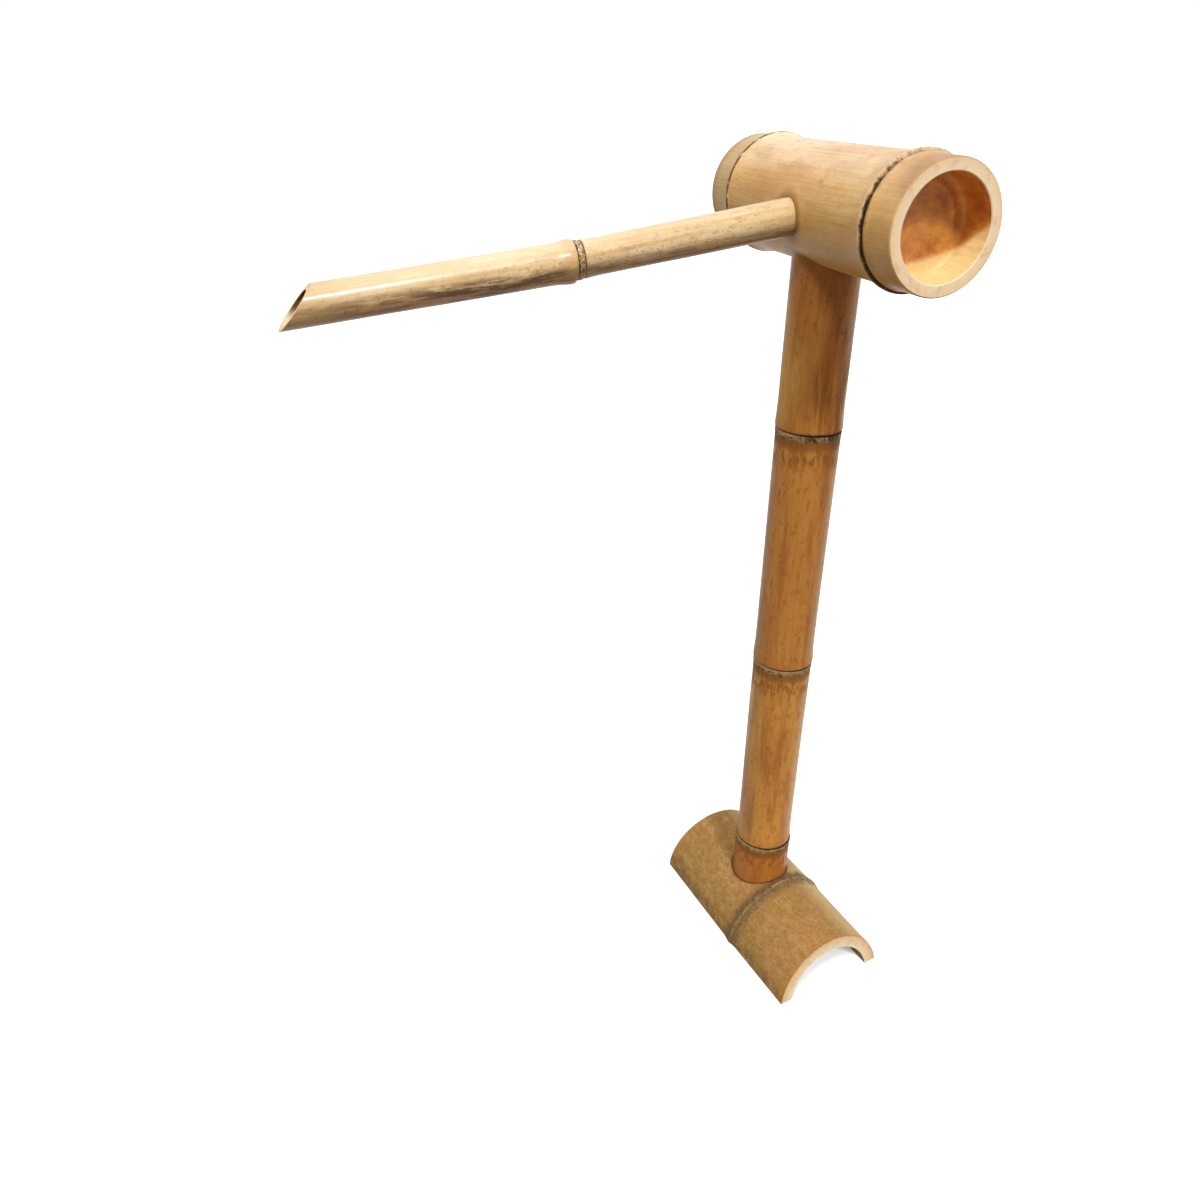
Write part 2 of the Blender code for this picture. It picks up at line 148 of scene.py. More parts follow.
def sideMask(tree, place, look):
    # 0 to 1 along a direction of the straight culm, from one mm to another
    reach = addNode(tree, "VectorMath", {0: place, 1: look["side"]}, out="Value", operation='DOT_PRODUCT')
    return addNode(tree, "MapRange", {"Value": reach, "From Min": look["start"] / 1000,
                                      "From Max": look["end"] / 1000}, **eased)


skinFinish = {
    "ior": 1.47, "coatRoughness": 0.15, "scarRoughness": 0.75,
    "bumpDepth": 0.0003,  # metres
    "gapSoft": 0.05,  # how softly a broken ring fades at its gaps
    "heavyReach": 0.03,  # metres either side of the axis, over which a ring widens
}


def bambooSkin(name, look):
    # dried culm skin: silica-hard and waxy, so satin over fine lengthwise fibres
    material, tree = newMaterial(name)
    place = addNode(tree, "Attribute", out="Vector", attribute_name="culmPlace")
    fromNode = addNode(tree, "Attribute", out="Fac", attribute_name="fromNode")
    toHole = addNode(tree, "Attribute", out="Fac", attribute_name="toHole")
    patterns = {}
    for i, (kind, (across, along, detail, rough)) in enumerate(look["patterns"].items()):  # mm, mm
        # each pattern starts elsewhere, so that no two line up
        moved = addNode(tree, "Mapping", {"Vector": place, "Location": (3.7 * i, 5.1 * i, 7.3 * i),
                                          "Scale": (1000 / across, 1000 / across, 1000 / along)})
        patterns[kind] = addNode(tree, "TexNoise", {"Vector": moved, "Scale": 1.0, "Detail": detail,
                                                    "Roughness": rough})
    spread = addNode(tree, "MapRange", {"Value": patterns["cloud"], "From Min": 0.35, "From Max": 0.65})
    tone = addNode(tree, "Mix", {0: spread, 6: linear(look["pale"]), 7: linear(look["deep"])}, **inColour)
    rough = addNode(tree, "MapRange", {"Value": patterns["blotch"], "From Min": 0.3, "From Max": 0.7,
                                       "To Min": look["roughness"] - 0.06,
                                       "To Max": look["roughness"] + 0.08})
    for layer in look["layers"]:  # streaks and blotches of one pattern, or else an even wash
        layer = {"pattern": "cloud", "low": 0.0, "high": 0.3, **layer}
        mask = addNode(tree, "MapRange", {"Value": patterns[layer["pattern"]], "From Min": layer["low"],
                                          "From Max": layer["high"], "To Max": layer["amount"]},
                       **eased)
        if "side" in layer:  # only on one side or one length of the culm
            mask = addNode(tree, "Math", {0: mask, 1: sideMask(tree, place, layer)}, operation='MULTIPLY')
        tone = addNode(tree, "Mix", {0: mask, 6: tone, 7: linear(layer["colour"])}, **inColour)
        if "matt" in layer:
            rough = addNode(tree, "Mix", {0: mask, 2: rough, 3: layer["matt"]})
    shade = addNode(tree, "MapRange", {"Value": patterns["grain"], "From Min": 0.3, "From Max": 0.7,
                                       "To Min": 1.0 - look["grainDepth"],
                                       "To Max": 1.0 + look["grainDepth"] / 2})
    tone = addNode(tree, "Mix", {0: 1.0, 6: tone, 7: shade}, **inColour, blend_type='MULTIPLY')
    # rings that follow a node: bands first, then the dark sheath scars
    for ring in look["rings"]:
        away = addNode(tree, "Math", {0: fromNode, 1: ring["at"]}, operation='SUBTRACT')
        away = addNode(tree, "Math", {0: away}, operation='ABSOLUTE')
        ragged = addNode(tree, "MapRange", {"Value": patterns["blotch"], "From Min": 0.25, "From Max": 0.75,
                                            "To Min": -ring["ragged"], "To Max": ring["ragged"]})
        away = addNode(tree, "Math", {0: away, 1: ragged}, operation='ADD')
        halfWide = ring["width"] / 2
        if "heavy" in ring:  # wider on one side of the culm
            heavy = addNode(tree, "VectorMath", {0: place, 1: ring["heavy"]}, out="Value",
                            operation='DOT_PRODUCT')
            heavy = addNode(tree, "MapRange", {"Value": heavy, "From Min": -skinFinish["heavyReach"],
                                               "From Max": skinFinish["heavyReach"],
                                               "To Max": ring["extra"] / 2})
            away = addNode(tree, "Math", {0: away, 1: heavy}, operation='SUBTRACT')
        mask = addNode(tree, "MapRange", {"Value": away, "From Min": halfWide + ring["soft"],
                                          "From Max": halfWide - ring["soft"],
                                          "To Max": ring["amount"]}, **eased)
        if "broken" in ring:  # gaps in the ring
            gaps = addNode(tree, "MapRange", {"Value": patterns[ring.get("by", "dash")],
                                              "From Min": ring["broken"] - skinFinish["gapSoft"],
                                              "From Max": ring["broken"] + skinFinish["gapSoft"]})
            mask = addNode(tree, "Math", {0: mask, 1: gaps}, operation='MULTIPLY')
        if "side" in ring:
            mask = addNode(tree, "Math", {0: mask, 1: sideMask(tree, place, ring)}, operation='MULTIPLY')
        tone = addNode(tree, "Mix", {0: mask, 6: tone, 7: linear(ring["colour"])}, **inColour)
        rough = addNode(tree, "Mix", {0: mask, 2: rough, 3: skinFinish["scarRoughness"]})
    if "rimWidth" in look:  # stained edge of a drilled hole, with painted shade where a culm sits in it and casts its shadow beside it
        rim = addNode(tree, "MapRange", {"Value": toHole, "From Min": look["rimWidth"], "From Max": 0.0,
                                         "To Max": look["rimAmount"]}, **eased)
        tone = addNode(tree, "Mix", {0: rim, 6: tone, 7: linear(look["rimColour"])}, **inColour)
    height = addNode(tree, "Mix", {0: 0.4, 2: patterns["grain"], 3: patterns["blotch"]})
    height = addNode(tree, "Mix", {0: 0.3, 2: height, 3: patterns["fibre"]})
    bump = addNode(tree, "Bump", {"Strength": look["bump"], "Distance": skinFinish["bumpDepth"],
                                  "Height": height})
    shader = addNode(tree, "BsdfPrincipled", {"Base Color": tone, "Roughness": rough,
                                              "IOR": skinFinish["ior"],
                                              "Specular IOR Level": look["sheenLevel"],
                                              "Coat Weight": look["coat"],
                                              "Coat Roughness": skinFinish["coatRoughness"],
                                              "Normal": bump})
    addNode(tree, "OutputMaterial", {"Surface": shader})
    return material


def sawnBamboo(name, look):
    # sawn end grain: pale pith with dark fibre bundles that crowd towards the skin
    material, tree = newMaterial(name)
    place = addNode(tree, "Attribute", out="Vector", attribute_name="culmPlace")
    depth = addNode(tree, "Attribute", out="Fac", attribute_name="wallShare")
    # bundles run on along the culm
    flat = addNode(tree, "VectorMath", {0: place, 1: (1.0, 1.0, 0.35)}, operation='MULTIPLY')
    cells = addNode(tree, "VectorMath", {0: flat, "Scale": 1000 / look["bundle"]}, operation='SCALE')
    bundles = addNode(tree, "TexVoronoi", {"Vector": cells, "Scale": 1.0}, out="Distance")
    size = addNode(tree, "MapRange", {"Value": depth, "To Min": 0.12, "To Max": 0.42})
    dots = addNode(tree, "Math", {0: size, 1: bundles}, operation='SUBTRACT')
    dots = addNode(tree, "MapRange", {"Value": dots, "From Min": -0.06, "From Max": 0.12,
                                      "To Max": look["dots"]})
    clouds = addNode(tree, "VectorMath", {0: flat, "Scale": 1000 / look["mottle"]}, operation='SCALE')
    clouds = addNode(tree, "TexNoise", {"Vector": clouds, "Scale": 1.0, "Detail": 4.0, "Roughness": 0.6})
    mottle = addNode(tree, "MapRange", {"Value": clouds, "From Min": 0.5, "From Max": 0.68,
                                        "To Max": look["mottleAmount"]}, **eased)
    tone = addNode(tree, "Mix", {0: depth, 6: linear(look["inner"]), 7: linear(look["outer"])}, **inColour)
    tone = addNode(tree, "Mix", {0: mottle, 6: tone, 7: linear(look["stain"])}, **inColour)
    tone = addNode(tree, "Mix", {0: dots, 6: tone, 7: linear(look["fibre"])}, **inColour)
    edge = addNode(tree, "MapRange", {"Value": depth, "From Min": look["edgeFrom"], "From Max": 1.0,
                                      "To Max": look["edgeAmount"]}, **eased)
    tone = addNode(tree, "Mix", {0: edge, 6: tone, 7: linear(look["edge"])}, **inColour)
    height = addNode(tree, "Mix", {0: 0.5, 2: bundles, 3: clouds})
    bump = addNode(tree, "Bump", {"Strength": 0.5, "Distance": skinFinish["bumpDepth"], "Height": height})
    shader = addNode(tree, "BsdfPrincipled", {"Base Color": tone, "Roughness": 0.72, "IOR": 1.5,
                                              "Normal": bump})
    addNode(tree, "OutputMaterial", {"Surface": shader})
    return material


def culmLining(name, look):
    # inside of a culm: smooth dried membrane over the pith, a little shiny, with brown water marks
    material, tree = newMaterial(name)
    place = addNode(tree, "Attribute", out="Vector", attribute_name="culmPlace")
    fine = addNode(tree, "Mapping", {"Vector": place, "Scale": (500.0, 500.0, 60.0)})  # 2 mm by 17 mm
    fine = addNode(tree, "TexNoise", {"Vector": fine, "Scale": 1.0, "Detail": 4.0})
    broad = addNode(tree, "Mapping", {"Vector": place, "Scale": (90.0, 90.0, 70.0)})  # 11 mm by 14 mm
    broad = addNode(tree, "TexNoise", {"Vector": broad, "Scale": 1.0, "Detail": 5.0, "Roughness": 0.6})
    mixed = addNode(tree, "MapRange", {"Value": broad, "From Min": 0.38, "From Max": 0.66})
    tone = addNode(tree, "Mix", {0: mixed, 6: linear(look["pale"]), 7: linear(look["deep"])}, **inColour)
    if "side" in look:  # painted light: paler where the lamp's light falls in through the mouth
        reach = addNode(tree, "Math", {0: sideMask(tree, place, look), 1: look["amount"]},
                        operation='MULTIPLY')
        tone = addNode(tree, "Mix", {0: reach, 6: tone, 7: linear(look["paintedLight"])}, **inColour)
    shade = addNode(tree, "MapRange", {"Value": fine, "From Min": 0.3, "From Max": 0.7, "To Min": 0.86,
                                       "To Max": 1.06})
    tone = addNode(tree, "Mix", {0: 1.0, 6: tone, 7: shade}, **inColour, blend_type='MULTIPLY')
    bump = addNode(tree, "Bump", {"Strength": 0.4, "Distance": skinFinish["bumpDepth"], "Height": fine})
    shader = addNode(tree, "BsdfPrincipled", {"Base Color": tone, "Roughness": look["roughness"], "IOR": 1.5,
                                              "Specular IOR Level": 0.3, "Normal": bump})
    addNode(tree, "OutputMaterial", {"Surface": shader})
    return material


shaping = {  # metres, where nothing else is said
    "merge": 0.000002, "onAxis": 0.0001, "cutSlack": 0.0000001,
    "overrun": 0.012,  # how far a culm runs on before a slanting cut
    "calmBlend": 0.012,  # over this length the wall begins to waver beside a joint
    "waverPitch": 9.0,  # swells of the wall in a metre
    "sharpAngle": 38,  # degrees
    "noHole": 50.0,  # mm, for a point that no hole comes near
}


def nodeRows(height, above, below, rows, facing=1):
    # outer side across one node, as (radius, height); rows are mm towards the swelling and mm of lip
    return [((above if along > 0 else below) + lip / 1000, height + facing * along / 1000)
            for along, lip in rows]


def spunCulm(section, steps, longest):
    # section: a few points of the culm's wall in the XZ plane, spun once round the culm's axis
    bm = bmesh.new()
    verts = [bm.verts.new((radius, 0.0, height)) for radius, height in section]
    for first, second in zip(verts, verts[1:]):
        bm.edges.new((first, second))
    if section[0][0] or section[-1][0]:  # a section between two points of the axis stays open
        bm.edges.new((verts[-1], verts[0]))
    while longEdges := [edge for edge in bm.edges if edge.calc_length() > longest]:
        bmesh.ops.subdivide_edges(bm, edges=longEdges, cuts=1)
    bmesh.ops.spin(bm, geom=bm.verts[:] + bm.edges[:], cent=(0.0, 0.0, 0.0), axis=(0.0, 0.0, 1.0),
                   angle=2 * pi, steps=steps, use_merge=True)
    bmesh.ops.remove_doubles(bm, verts=bm.verts, dist=shaping["merge"])
    bmesh.ops.recalc_face_normals(bm, faces=bm.faces)
    return bm


def sortFaces(bm, piece, low, high=1.0):
    # sawn ends lie below low or above high, and the lining within a radius; the rest is skin
    for face in bm.faces:
        middle = face.calc_center_median()
        if middle.z < low or middle.z > high:
            face.material_index = 1
        elif hypot(middle.x, middle.y) < piece["liningWithin"]:
            face.material_index = 2


def cutBeyond(bm, point, outward):
    bmesh.ops.bisect_plane(bm, geom=bm.verts[:] + bm.edges[:] + bm.faces[:], dist=shaping["cutSlack"],
                           plane_co=point, plane_no=outward, clear_outer=True)


def sawEnd(bm, point, outward, cuts):
    # a slanting saw cut, closed across the wall with rows of sawn faces
    cutBeyond(bm, point, outward)
    closed = bmesh.ops.bridge_loops(bm, edges=[edge for edge in bm.edges if edge.is_boundary])
    for face in closed["faces"]:
        face.material_index = 1
    across = [edge for edge in {e for face in closed["faces"] for e in face.edges}
              if all(face.material_index == 1 for face in edge.link_faces)]
    bmesh.ops.subdivide_edges(bm, edges=across, cuts=cuts)


def awayFromNode(piece, height, turn, nearest=None):
    # metres from a node's scar, positive towards the side that swells
    at, facing = nearest or min(piece["nodes"], key=lambda node: abs(height - node[0]))
    return facing * (height - at) - piece["lean"] * cos(turn - radians(piece["leanTo"]))


def shapeCulm(bm, piece):
    # what growth does: rings that lean, walls a little out of round, lumps round the nodes
    for vert in bm.verts:
        radius = hypot(vert.co.x, vert.co.y)
        if radius < shaping["onAxis"]:
            continue
        turn = atan2(vert.co.y, vert.co.x)
        height = vert.co.z
        lean = piece["lean"] * cos(turn - radians(piece["leanTo"]))
        for at, facing in piece["nodes"]:
            vert.co.z += facing * lean * exp(-((height - at) / piece["leanReach"]) ** 2)
        away = awayFromNode(piece, vert.co.z, turn)
        out = Vector((vert.co.x, vert.co.y, 0.0)) / radius
        calm = 1.0
        for low, high in piece["calm"]:  # lengths that stay true, where a joint fits
            gap = max(low - height, height - high, 0.0)
            calm = min(calm, gap / shaping["calmBlend"])
        swell = noise.noise(Vector((out.x, out.y, height * shaping["waverPitch"])))
        push = piece["waver"] * calm * swell  # metres outwards
        if radius > piece["skinFrom"]:
            near = exp(-((away - piece["lumpAt"]) / piece["lumpReach"]) ** 2)
            push += piece["lump"] * near * noise.noise(vert.co / piece["lumpSize"]) * calm
            if "heavy" in piece:  # a groove that deepens towards one side
                reach = out.dot(Vector(piece["heavy"])) * radius
                weight = min(1.0, max(0.0, 0.5 + piece["heavySlope"] * reach))
                groove = exp(-((away - piece["grooveAt"]) / piece["grooveWide"]) ** 2)
                push -= piece["grooveDepth"] * weight * groove
        vert.co += out * push


def markCulm(mesh, piece, toCulm, holes=()):
    # what the materials read: place in the straight culm, mm from a node, share of the wall, mm to a hole
    mesh.attributes.new("culmPlace", 'FLOAT_VECTOR', 'POINT')
    mesh.attributes.new("fromNode", 'FLOAT', 'CORNER')  # each face keeps to one node
    for layer in ("wallShare", "toHole"):
        mesh.attributes.new(layer, 'FLOAT', 'POINT')
    places, away = mesh.attributes["culmPlace"], mesh.attributes["fromNode"]
    share, toHole = mesh.attributes["wallShare"], mesh.attributes["toHole"]
    for vert in mesh.vertices:
        local = toCulm(vert.co)
        places.data[vert.index].vector = local
        wall = (hypot(local.x, local.y) - piece["bore"]) / (piece["radius"] - piece["bore"])
        share.data[vert.index].value = min(1.0, max(0.0, wall))
        nearest = shaping["noHole"]
        for start, direction, radius in holes:
            beside = (vert.co - start).cross(direction).length - radius
            if (vert.co - start).dot(direction) > 0.0:
                nearest = min(nearest, 1000 * beside)
        toHole.data[vert.index].value = nearest
    for face in mesh.polygons:
        middle = places.data[face.vertices[0]].vector.z
        node = min(piece["nodes"], key=lambda node: abs(middle - node[0]))
        for corner in face.loop_indices:
            local = places.data[mesh.loops[corner].vertex_index].vector
            away.data[corner].value = 1000 * awayFromNode(piece, local.z, atan2(local.y, local.x), node)


def newPiece(name, bm, materials):
    mesh = bpy.data.meshes.new(name)
    bm.to_mesh(mesh)
    bm.free()
    for material in materials:
        mesh.materials.append(material)
    made = bpy.data.objects.new(name, mesh)
    bpy.context.scene.collection.objects.link(made)
    return made


def drillHoles(made, cutters):
    # takes the cutters' shapes out of the piece, and gives the cut the cutters' material
    for cutter in cutters:
        cut = made.modifiers.new(cutter.name, 'BOOLEAN')
        cut.object = cutter
        cut.operation = 'DIFFERENCE'
        cut.solver = 'EXACT'
        cut.material_mode = 'TRANSFER'
    bpy.context.view_layer.update()
    drilled = bpy.data.meshes.new_from_object(made.evaluated_get(bpy.context.evaluated_depsgraph_get()))
    made.modifiers.clear()
    made.data = drilled
    for cutter in cutters:
        bpy.data.objects.remove(cutter)


def roundCutter(name, radius, length, sides, place, material):
    bm = bmesh.new()
    bmesh.ops.create_cone(bm, cap_ends=True, segments=sides, radius1=radius, radius2=radius, depth=length)
    bmesh.ops.translate(bm, verts=bm.verts, vec=(0.0, 0.0, length / 2))
    bmesh.ops.transform(bm, matrix=place, verts=bm.verts)
    return newPiece(name, bm, [material])


def finishPiece(made, body, node):
    made.data.shade_smooth()
    made.data.set_sharp_from_angle(angle=radians(shaping["sharpAngle"]))
    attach(made, body)
    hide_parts(node)
    print(made.name, len(made.data.polygons), "faces")


# post: a thick-walled culm aged to amber, three nodes, hose holes through its diaphragms
# (0.938, -0.346) points to the side away from the spout, which is more stained, darker towards the top partly
# by painted shade, and paler at its edge by painted light
post = {
    "axis": (0.16488, 0.00721, 0.0),
    "top": 0.6906, "bottom": 0.0331, "radius": 0.0270, "buttRadius": 0.0283, "bore": 0.0205,
    "liningWithin": 0.0207, "endSlack": 0.0001,
    "nodes": ((0.5460, 1), (0.3194, 1), (0.0987, 1)),
    "nodeRows": ((30, 0), (22, 0.05), (15, 0.2), (9, 0.45), (5, 0.68), (2.4, 0.8), (1.1, 0.72), (0.55, 0.42),
                 (0.25, -0.15), (-0.15, -0.75), (-0.6, -0.5), (-1.0, 0.12), (-1.8, 0.34), (-3.2, 0.38),
                 (-4.8, 0.25), (-6.5, 0.08), (-10, 0.02), (-24, 0)),
    "diaphragm": 0.004, "hoseHole": 0.0053,
    "steps": 144, "longest": 0.006,
    "lean": 0.0004, "leanTo": 200, "leanReach": 0.02,
    "waver": 0.00025, "calm": ((0.0, 0.064), (0.655, 0.7)), "skinFrom": 0.025,
    "lump": 0.00035, "lumpAt": -0.002, "lumpReach": 0.004, "lumpSize": 0.004,
    "skin": {
        "pale": "#cb9044", "deep": "#b27638", "roughness": 0.35, "sheenLevel": 0.13, "coat": 0.0, "bump": 0.4,
        "grainDepth": 0.12,
        "patterns": {"cloud": (26, 110, 3, 0.5), "streak": (9, 90, 5, 0.6), "grain": (1.3, 45, 4, 0.6),
                     "blotch": (4.5, 9, 5, 0.65), "dash": (4, 3, 3, 0.6), "fibre": (0.5, 30, 2, 0.5),
                     "stain": (5, 38, 5, 0.7), "spot": (2.2, 3.2, 2, 0.5)},
        "layers": (
            {"pattern": "streak", "low": 0.48, "high": 0.64, "amount": 0.55, "colour": "#965520"},
            {"pattern": "blotch", "low": 0.52, "high": 0.68, "amount": 0.5, "colour": "#844816"},
            # partly the culm's own colour, partly painted shade: darker in the upper post, and on the top
            # internode towards the drum and away from the spout
            {"pattern": "cloud", "low": 0.05, "high": 0.3, "amount": 0.2, "colour": "#8a4716",
             "side": (0, 0, 1), "start": 316, "end": 322},
            {"pattern": "cloud", "low": 0.05, "high": 0.3, "amount": 0.4, "colour": "#8a4716",
             "side": (0.938, -0.346, 0.1), "start": 52, "end": 66},
            {"pattern": "streak", "low": 0.36, "high": 0.6, "amount": 0.45, "colour": "#86734a",
             "side": (-0.938, 0.346, -0.03), "start": 7, "end": 17, "matt": 0.55},
            # painted light: the side away from the spout is washed paler, a painted rim light along its edge
            {"pattern": "cloud", "low": 0.2, "high": 0.5, "amount": 0.4, "colour": "#c99e5c",
             "side": (0.938, -0.346, 0), "start": 13, "end": 25},
            {"pattern": "stain", "low": 0.48, "high": 0.60, "amount": 0.62, "colour": "#54290c",
             "side": (0.938, -0.346, 0.06), "start": 39, "end": 50},
            {"pattern": "cloud", "low": 0.1, "high": 0.35, "amount": 0.6, "colour": "#a85c22",
             "side": (0, 0, -1), "start": -98, "end": -96},
            {"pattern": "spot", "low": 0.68, "high": 0.74, "amount": 0.7, "colour": "#5c3315"},
            {"pattern": "fibre", "low": 0.62, "high": 0.80, "amount": 0.25, "colour": "#6d3a12"},
        ),
        "rings": (
            {"at": 4.0, "width": 10, "soft": 5, "ragged": 2.0, "amount": 0.25, "colour": "#a5642c"},
            # painted light: a paler band low on the top internode's spout side, a painted pool of light below
            # the drum's shadow
            {"at": 30, "width": 66, "soft": 18, "ragged": 8, "amount": 0.55, "colour": "#cfa45e",
             "side": (-0.938, 0.346, 0.2), "start": 128, "end": 146},
            {"at": 26, "width": 74, "soft": 22, "ragged": 10, "amount": 0.5, "colour": "#6b370f",
             "broken": 0.49, "by": "streak", "side": (0.938, -0.346, 0.3), "start": 152, "end": 172},
            {"at": -18, "width": 24, "soft": 8, "ragged": 6, "amount": 0.65, "colour": "#7f4b1c",
             "broken": 0.50, "by": "blotch"},
            {"at": -8.0, "width": 9.0, "soft": 3, "ragged": 3.5, "amount": 0.65, "colour": "#6f431b"},
            {"at": -3.0, "width": 5.0, "soft": 0.8, "ragged": 1.0, "amount": 0.85, "colour": "#98815a"},
            {"at": -4.4, "width": 3.4, "soft": 1.2, "ragged": 1.8, "amount": 0.85, "colour": "#3b2815",
             "broken": 0.52, "by": "dash"},
            {"at": -1.8, "width": 6.5, "soft": 1.5, "ragged": 2.5, "amount": 0.9, "colour": "#2c1a0c",
             "broken": 0.45, "by": "blotch", "side": (0.938, -0.346, 0.5), "start": 250, "end": 270},
            {"at": -0.15, "width": 0.8, "soft": 0.35, "ragged": 0.3, "amount": 0.95, "colour": "#23150b",
             "heavy": (0.938, -0.346, 0.0), "extra": 1.7},
        ),
    },
}
sawnPale = {"inner": "#f5dbb8", "outer": "#f0d0a2", "stain": "#cda880", "fibre": "#c9985f",
            "edge": "#94501a", "edgeFrom": 0.85, "edgeAmount": 0.95,
            "bundle": 1.1, "dots": 0.35, "mottle": 9.0, "mottleAmount": 0.45}  # bundle and mottle in mm
sawnTan = {"inner": "#ecd5b0", "outer": "#dab583", "stain": "#b08d5e", "fibre": "#a87440",
           "edge": "#7f4720", "edgeFrom": 0.90, "edgeAmount": 0.9,
           "bundle": 1.1, "dots": 0.5, "mottle": 7.0, "mottleAmount": 0.5}
liningAmber = {"pale": "#d8913f", "deep": "#b06428", "roughness": 0.4}
# paintedLight: a painted pool of light on the cup's lower wall, where the lamp shines in past the rim
liningCup = {"pale": "#dd9746", "deep": "#b96c2f", "roughness": 0.33, "paintedLight": "#fee09e",
             "side": (0.15, -0.80, 0.585), "start": 77.5, "end": 82.5, "amount": 0.9}
# painted shade and light: the spout's inside is darkened as painted shade, and paler as painted light on its
# lower side near the lip
liningStraw = {"pale": "#80562c", "deep": "#472811", "roughness": 0.42, "paintedLight": "#f3dfb8",
               "side": (-1.0, 0.0, 1.0), "start": 397, "end": 414, "amount": 0.9}
sawnFresh = sawnBamboo("sawnBambooEnd", sawnPale)
sawnDry = sawnBamboo("sawnDryBambooEnd", sawnTan)
amberInside = culmLining("amberCulmLining", liningAmber)
section = [(post["radius"], post["top"])]
for (height, facing), below in zip(post["nodes"], (post["radius"], post["radius"], post["buttRadius"])):
    section += nodeRows(height, post["radius"], below, post["nodeRows"], facing)
section += [(post["buttRadius"], post["bottom"]), (post["bore"], post["bottom"])]
for height, facing in reversed(post["nodes"]):
    low, high = height - post["diaphragm"] / 2, height + post["diaphragm"] / 2
    section += [(post["bore"], low), (post["hoseHole"], low), (post["hoseHole"], high), (post["bore"], high)]
section.append((post["bore"], post["top"]))
bm = spunCulm(section, post["steps"], post["longest"])
sortFaces(bm, post, post["bottom"] + post["endSlack"], post["top"] - post["endSlack"])
shapeCulm(bm, post)
bmesh.ops.translate(bm, verts=bm.verts, vec=post["axis"])
postCulm = newPiece("postCulm", bm, [bambooSkin("amberBambooSkin", post["skin"]), sawnFresh, amberInside])
markCulm(postCulm.data, post, lambda point: point - Vector(post["axis"]))
finishPiece(postCulm, "column", "post")

